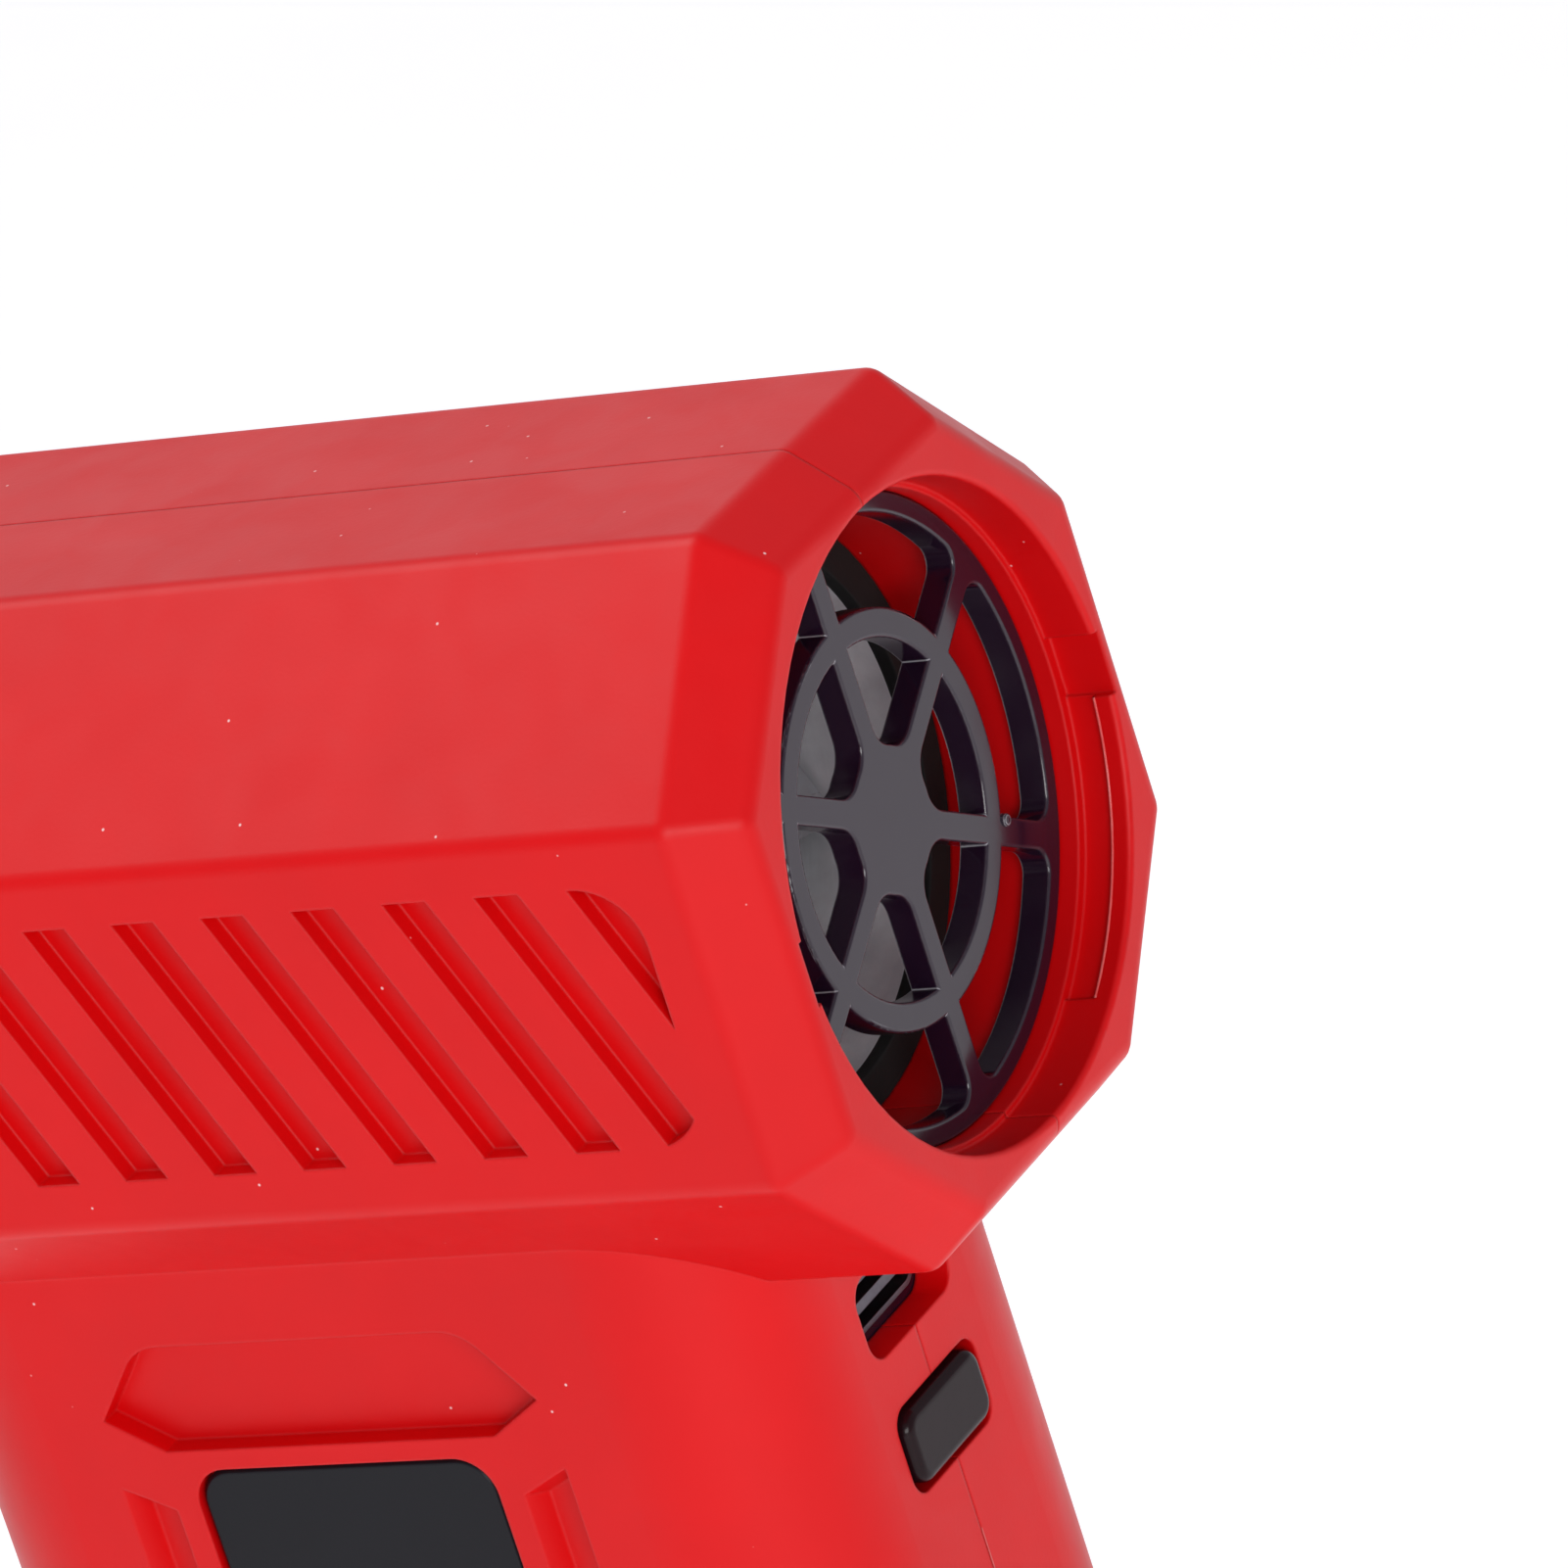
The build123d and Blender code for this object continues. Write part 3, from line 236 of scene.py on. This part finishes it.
finishes = {
    red_abs: ("left_shell", "right_shell"),
    gloss_abs: ("intake_guard", "port_surround"),
    button_abs: ("power_button",),
    brushed_tube: ("fan_duct",),
    black_plate: ("usb_socket",),
    satin_pc: ("side_panel_left", "side_panel_right", "nozzle", "outlet_duct", "vane_ring", "tail_cone",
               "switch_body", "switch_plunger"),
    rubber: ("base_pad", "front_mount_ring", "rear_mount_ring"),
    aluminium: ("impeller",),
    steel: ("motor_shaft", "impeller_nut", "motor_can", "motor_end_bell", "front_bearing", "rear_bearing",
            "shell_screws"),
    plated_magnet: ("rotor_magnet",),
    laminations: ("stator_core",),
    copper: ("stator_windings",),
    nickel: ("nickel_strips",),
    shrink_wrap: ("battery_cell_1", "battery_cell_2", "battery_cell_3", "board_capacitor"),
    nylon: ("cell_holder_bottom", "cell_holder_top"),
    resist: ("control_board",),
    wire_sheath: ("motor_leads", "battery_leads"),
}
for material, names in finishes.items():
    for name in names:
        for material_slot in frame["nodes"][name].material_slots:
            material_slot.material = material


# ---------------------------------------------------------------- fine pieces
def new_piece(name, mesh, material):
    """The mesh as an object, its doubles merged and its faces outwards."""
    bmesh.ops.remove_doubles(mesh, verts=mesh.verts, dist=0.002 * MM)
    bmesh.ops.recalc_face_normals(mesh, faces=mesh.faces)
    data = bpy.data.meshes.new(name)
    mesh.to_mesh(data)
    mesh.free()
    piece = bpy.data.objects.new(name, data)
    bpy.context.scene.collection.objects.link(piece)
    data.materials.append(material)
    return piece


def turned(mesh, profile, segments, place):
    """A turned shape: a profile of (radius, height) points in millimetres, spun all round its own axis."""
    chain = [mesh.verts.new((radius * MM, 0, height * MM)) for radius, height in profile]
    edges = [mesh.edges.new(pair) for pair in zip(chain, chain[1:])]
    bmesh.ops.spin(mesh, geom=chain + edges, cent=(0, 0, 0), axis=(0, 0, 1), dvec=(0, 0, 0),
                   angle=2 * math.pi, steps=segments, use_merge=True, use_duplicate=False)
    bmesh.ops.transform(mesh, matrix=place, verts=mesh.verts)


# lip of the attachment's track: a fine burr along its outer edge, from each notch to the track's end
TRACK_START, BORE, LIP = 1.3, 20.0, 0.09
NOTCH_HALF, TRACK_SWEEP = 6.0, 60.0
for side, name in ((1, "track_lip_left"), (-1, "track_lip_right")):
    lip = bmesh.new()
    bead = bmesh.ops.create_circle(lip, cap_ends=True, segments=8, radius=LIP * MM)["verts"]
    # the bead's ring stands in the plane that holds the barrel's axis, where the notch ends
    stand = Matrix.Translation((rim.x + TRACK_START * MM, side * BORE * MM, 0))
    bmesh.ops.transform(lip, matrix=stand, verts=bead)
    bmesh.ops.rotate(lip, cent=(0, 0, 0), matrix=Matrix.Rotation(math.radians(NOTCH_HALF), 3, "X"), verts=bead)
    bmesh.ops.spin(lip, geom=lip.verts[:] + lip.edges[:] + lip.faces[:], cent=(0, 0, 0), axis=(1, 0, 0),
                   dvec=(0, 0, 0), angle=math.radians(TRACK_SWEEP - NOTCH_HALF), steps=40, use_merge=False,
                   use_duplicate=False)
    bmesh.ops.translate(lip, vec=(0, 0, AXIS_HEIGHT), verts=lip.verts)
    piece = new_piece(name, lip, burr_abs_painted_glints)
    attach(piece, "housing")

# burr along the shells' joint on the handle's back, under the button
HANDLE_REAR, BURR, BURR_DROP, BURR_LENGTH, JOINT_SIDE = 14.2, 0.05, 4.2, 38.0, -0.08
burr = bmesh.new()
start = Vector((rim.x + HANDLE_REAR * MM, JOINT_SIDE * MM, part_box("power_button")[0][2] - BURR_DROP * MM))
bmesh.ops.create_circle(burr, cap_ends=True, segments=8, radius=BURR * MM, matrix=Matrix.Translation(start))
drawn_out = bmesh.ops.extrude_face_region(burr, geom=burr.faces[:], use_keep_orig=True)["geom"]
bmesh.ops.translate(burr, vec=(0, 0, -BURR_LENGTH * MM),
                    verts=[item for item in drawn_out if isinstance(item, bmesh.types.BMVert)])
piece = new_piece("joint_burr", burr, burr_abs_painted_glints)
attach(piece, "housing")

# gate mark: the low stub left where the guard's moulding was broken from its runner
GUARD_FACE, GATE_RADIUS, SPOKE_TURN = 4.6, 13.0, math.radians(207)
gate = bmesh.new()
outwards = Matrix.Translation((rim.x + GUARD_FACE * MM, GATE_RADIUS * MM * math.cos(SPOKE_TURN),
                               AXIS_HEIGHT + GATE_RADIUS * MM * math.sin(SPOKE_TURN))) \
    @ Matrix.Rotation(-math.pi / 2, 4, "Y")
STUB = ((0, 0.22), (0.18, 0.2), (0.3, 0.21), (0.4, 0.1), (0.44, -0.2), (0, -0.2))    # radius, height
turned(gate, STUB, 20, outwards)
piece = new_piece("guard_gate_mark", gate, gloss_abs)
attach(piece, "housing")

# screws: turned heads with a rounded rim and a six-lobed socket, one for each plain one that they replace
LOBES, SOCKET_RADIUS, LOBE_HEIGHT, SOCKET_DEPTH, SCREW_SIDES = 6, 1.25, 0.16, 1.0, 48
HEAD_HEIGHT, SHANK_RADIUS, POINT_LENGTH, POINT_RADIUS = 1.8, 1.4, 1.2, 0.5
HEAD_ROUND = ((0.35, 0), (0.12, 0.1), (0, 0.35))     # in from the head's side, down from its top


def islands(mesh):
    """The lowest and highest corners of each loose part of a merged mesh."""
    waiting = set(mesh.verts)
    while waiting:
        part, fresh = set(), [min(waiting, key=lambda vert: vert.index)]
        while fresh:
            vert = fresh.pop()
            if vert not in part:
                part.add(vert)
                fresh.extend(edge.other_vert(vert) for edge in vert.link_edges)
        waiting -= part
        yield (Vector([min(vert.co[way] for vert in part) for way in range(3)]),
               Vector([max(vert.co[way] for vert in part) for way in range(3)]))


def lobed_screw(head, length, place):
    """One screw as a mesh: head radius and whole length in millimetres, its top at the place given."""
    screw = bmesh.new()
    turned(screw, [(SOCKET_RADIUS, 0)] + [(head - inwards, -down) for inwards, down in HEAD_ROUND]
           + [(head, -HEAD_HEIGHT), (SHANK_RADIUS, -HEAD_HEIGHT), (SHANK_RADIUS, -length + POINT_LENGTH),
              (POINT_RADIUS, -length), (0, -length)], SCREW_SIDES, Matrix())
    bmesh.ops.remove_doubles(screw, verts=screw.verts, dist=0.002 * MM)
    mouth = [edge for edge in screw.edges if edge.is_boundary]
    for vert in {vert for edge in mouth for vert in edge.verts}:
        turn = math.atan2(vert.co.y, vert.co.x)
        reach = SOCKET_RADIUS + LOBE_HEIGHT * math.cos(LOBES * turn)
        vert.co = Vector((reach * math.cos(turn), reach * math.sin(turn), 0)) * MM
    wall = bmesh.ops.extrude_edge_only(screw, edges=mouth)["geom"]
    bottom = [item for item in wall if isinstance(item, bmesh.types.BMVert)]
    bmesh.ops.translate(screw, vec=(0, 0, -SOCKET_DEPTH * MM), verts=bottom)
    bmesh.ops.holes_fill(screw, edges=[edge for edge in screw.edges if edge.is_boundary], sides=SCREW_SIDES)
    bmesh.ops.recalc_face_normals(screw, faces=screw.faces)
    bmesh.ops.transform(screw, matrix=place, verts=screw.verts)
    data = bpy.data.meshes.new("one_screw")
    screw.to_mesh(data)
    screw.free()
    return data


plain = bmesh.new()
plain.from_mesh(frame["nodes"]["shell_screws"].data)
bmesh.ops.remove_doubles(plain, verts=plain.verts, dist=0.01 * MM)
screws = bmesh.new()
for low, high in islands(plain):
    top = Matrix.Translation(((low.x + high.x) / 2, low.y, (low.z + high.z) / 2)) \
        @ Matrix.Rotation(math.pi / 2, 4, "X")
    finished = lobed_screw((high.x - low.x) / 2 / MM, (high.y - low.y) / MM, top)
    screws.from_mesh(finished)
    bpy.data.meshes.remove(finished)
plain.free()
piece = new_piece("lobed_screws", screws, steel)
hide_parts("shell_screws")
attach(piece, "housing")


# ---------------------------------------------------------------- floor


FLOOR_HALF, MOTTLE_MM = 3.0, 40.0      # metres, millimetres

# Opal acrylic of a light table, lit from below: white, even, nearly without shade.
opal, tree, shader, place = surface("opal_acrylic_light_table", Roughness=0.6, Emission_Strength=0.35)
shader.inputs["Emission Color"].default_value = linear("#FFFFFF")
mottle = put(tree, "TexNoise", {"Vector": place, "Scale": per_metre(MOTTLE_MM), "Detail": 3.0})
whites = put(tree, "Mix", {"Factor": mottle.outputs["Fac"], 6: linear("#E6E6E8"), 7: linear("#EAEAEB")},
             data_type="RGBA")
tree.links.new(whites.outputs[2], shader.inputs["Base Color"])

sheet = bmesh.new()
bmesh.ops.create_grid(sheet, x_segments=1, y_segments=1, size=FLOOR_HALF)
floor = new_piece("floor", sheet, opal)


# ---------------------------------------------------------------- light
def softbox(name, azimuth, height, distance, width, tall, watts):
    """Square studio light round the barrel, aimed at it, by its direction and height in degrees."""
    lamp = bpy.data.lights.new(name, "AREA")
    lamp.shape = "RECTANGLE"
    lamp.size = width
    lamp.size_y = tall
    lamp.energy = watts
    body = bpy.data.objects.new(name, lamp)
    bpy.context.scene.collection.objects.link(body)
    turn, rise = math.radians(azimuth), math.radians(height)
    way = Vector((math.cos(rise) * math.cos(turn), math.cos(rise) * math.sin(turn), math.sin(rise)))
    body.location = Vector((0, 0, AXIS_HEIGHT)) + distance * way
    body.rotation_euler = (-way).to_track_quat("-Z", "Y").to_euler()
    body.visible_camera = False


softbox("key_light", 12, 64, 1.2, 0.7, 0.7, 7.0)
softbox("low_light", 132, 13, 1.0, 0.6, 0.3, 4.8)
softbox("far_light", 304, 21, 1.5, 1.2, 0.6, 1.4)

world = bpy.data.worlds.new("studio")
world.use_nodes = True
world.node_tree.nodes["Background"].inputs["Color"].default_value = linear("#F6F5FF")
world.node_tree.nodes["Background"].inputs["Strength"].default_value = 0.45
bpy.context.scene.world = world
bpy.context.scene.view_settings.view_transform = "Standard"

# ---------------------------------------------------------------- camera
# behind, above and to the left of the intake: place and aim in metres from the rim's centre
CAMERA_PLACE, CAMERA_AIM = (-0.35468, 0.54791, 0.25130), (0.00878, 0.00369, 0.00455)
CAMERA_ROLL, FOCAL_MM, SENSOR_MM = -17.85, 273.44, 36.0

lens = bpy.data.cameras.new("camera")
lens.lens = FOCAL_MM
lens.sensor_width = SENSOR_MM
lens.clip_start = 0.05
camera = bpy.data.objects.new("camera", lens)
bpy.context.scene.collection.objects.link(camera)
camera.location = rim + Vector(CAMERA_PLACE)
aim = rim + Vector(CAMERA_AIM)
upright = (aim - camera.location).to_track_quat("-Z", "Y")
camera.rotation_mode = "QUATERNION"
camera.rotation_quaternion = upright @ Quaternion((0, 0, 1), math.radians(CAMERA_ROLL))
bpy.context.scene.camera = camera
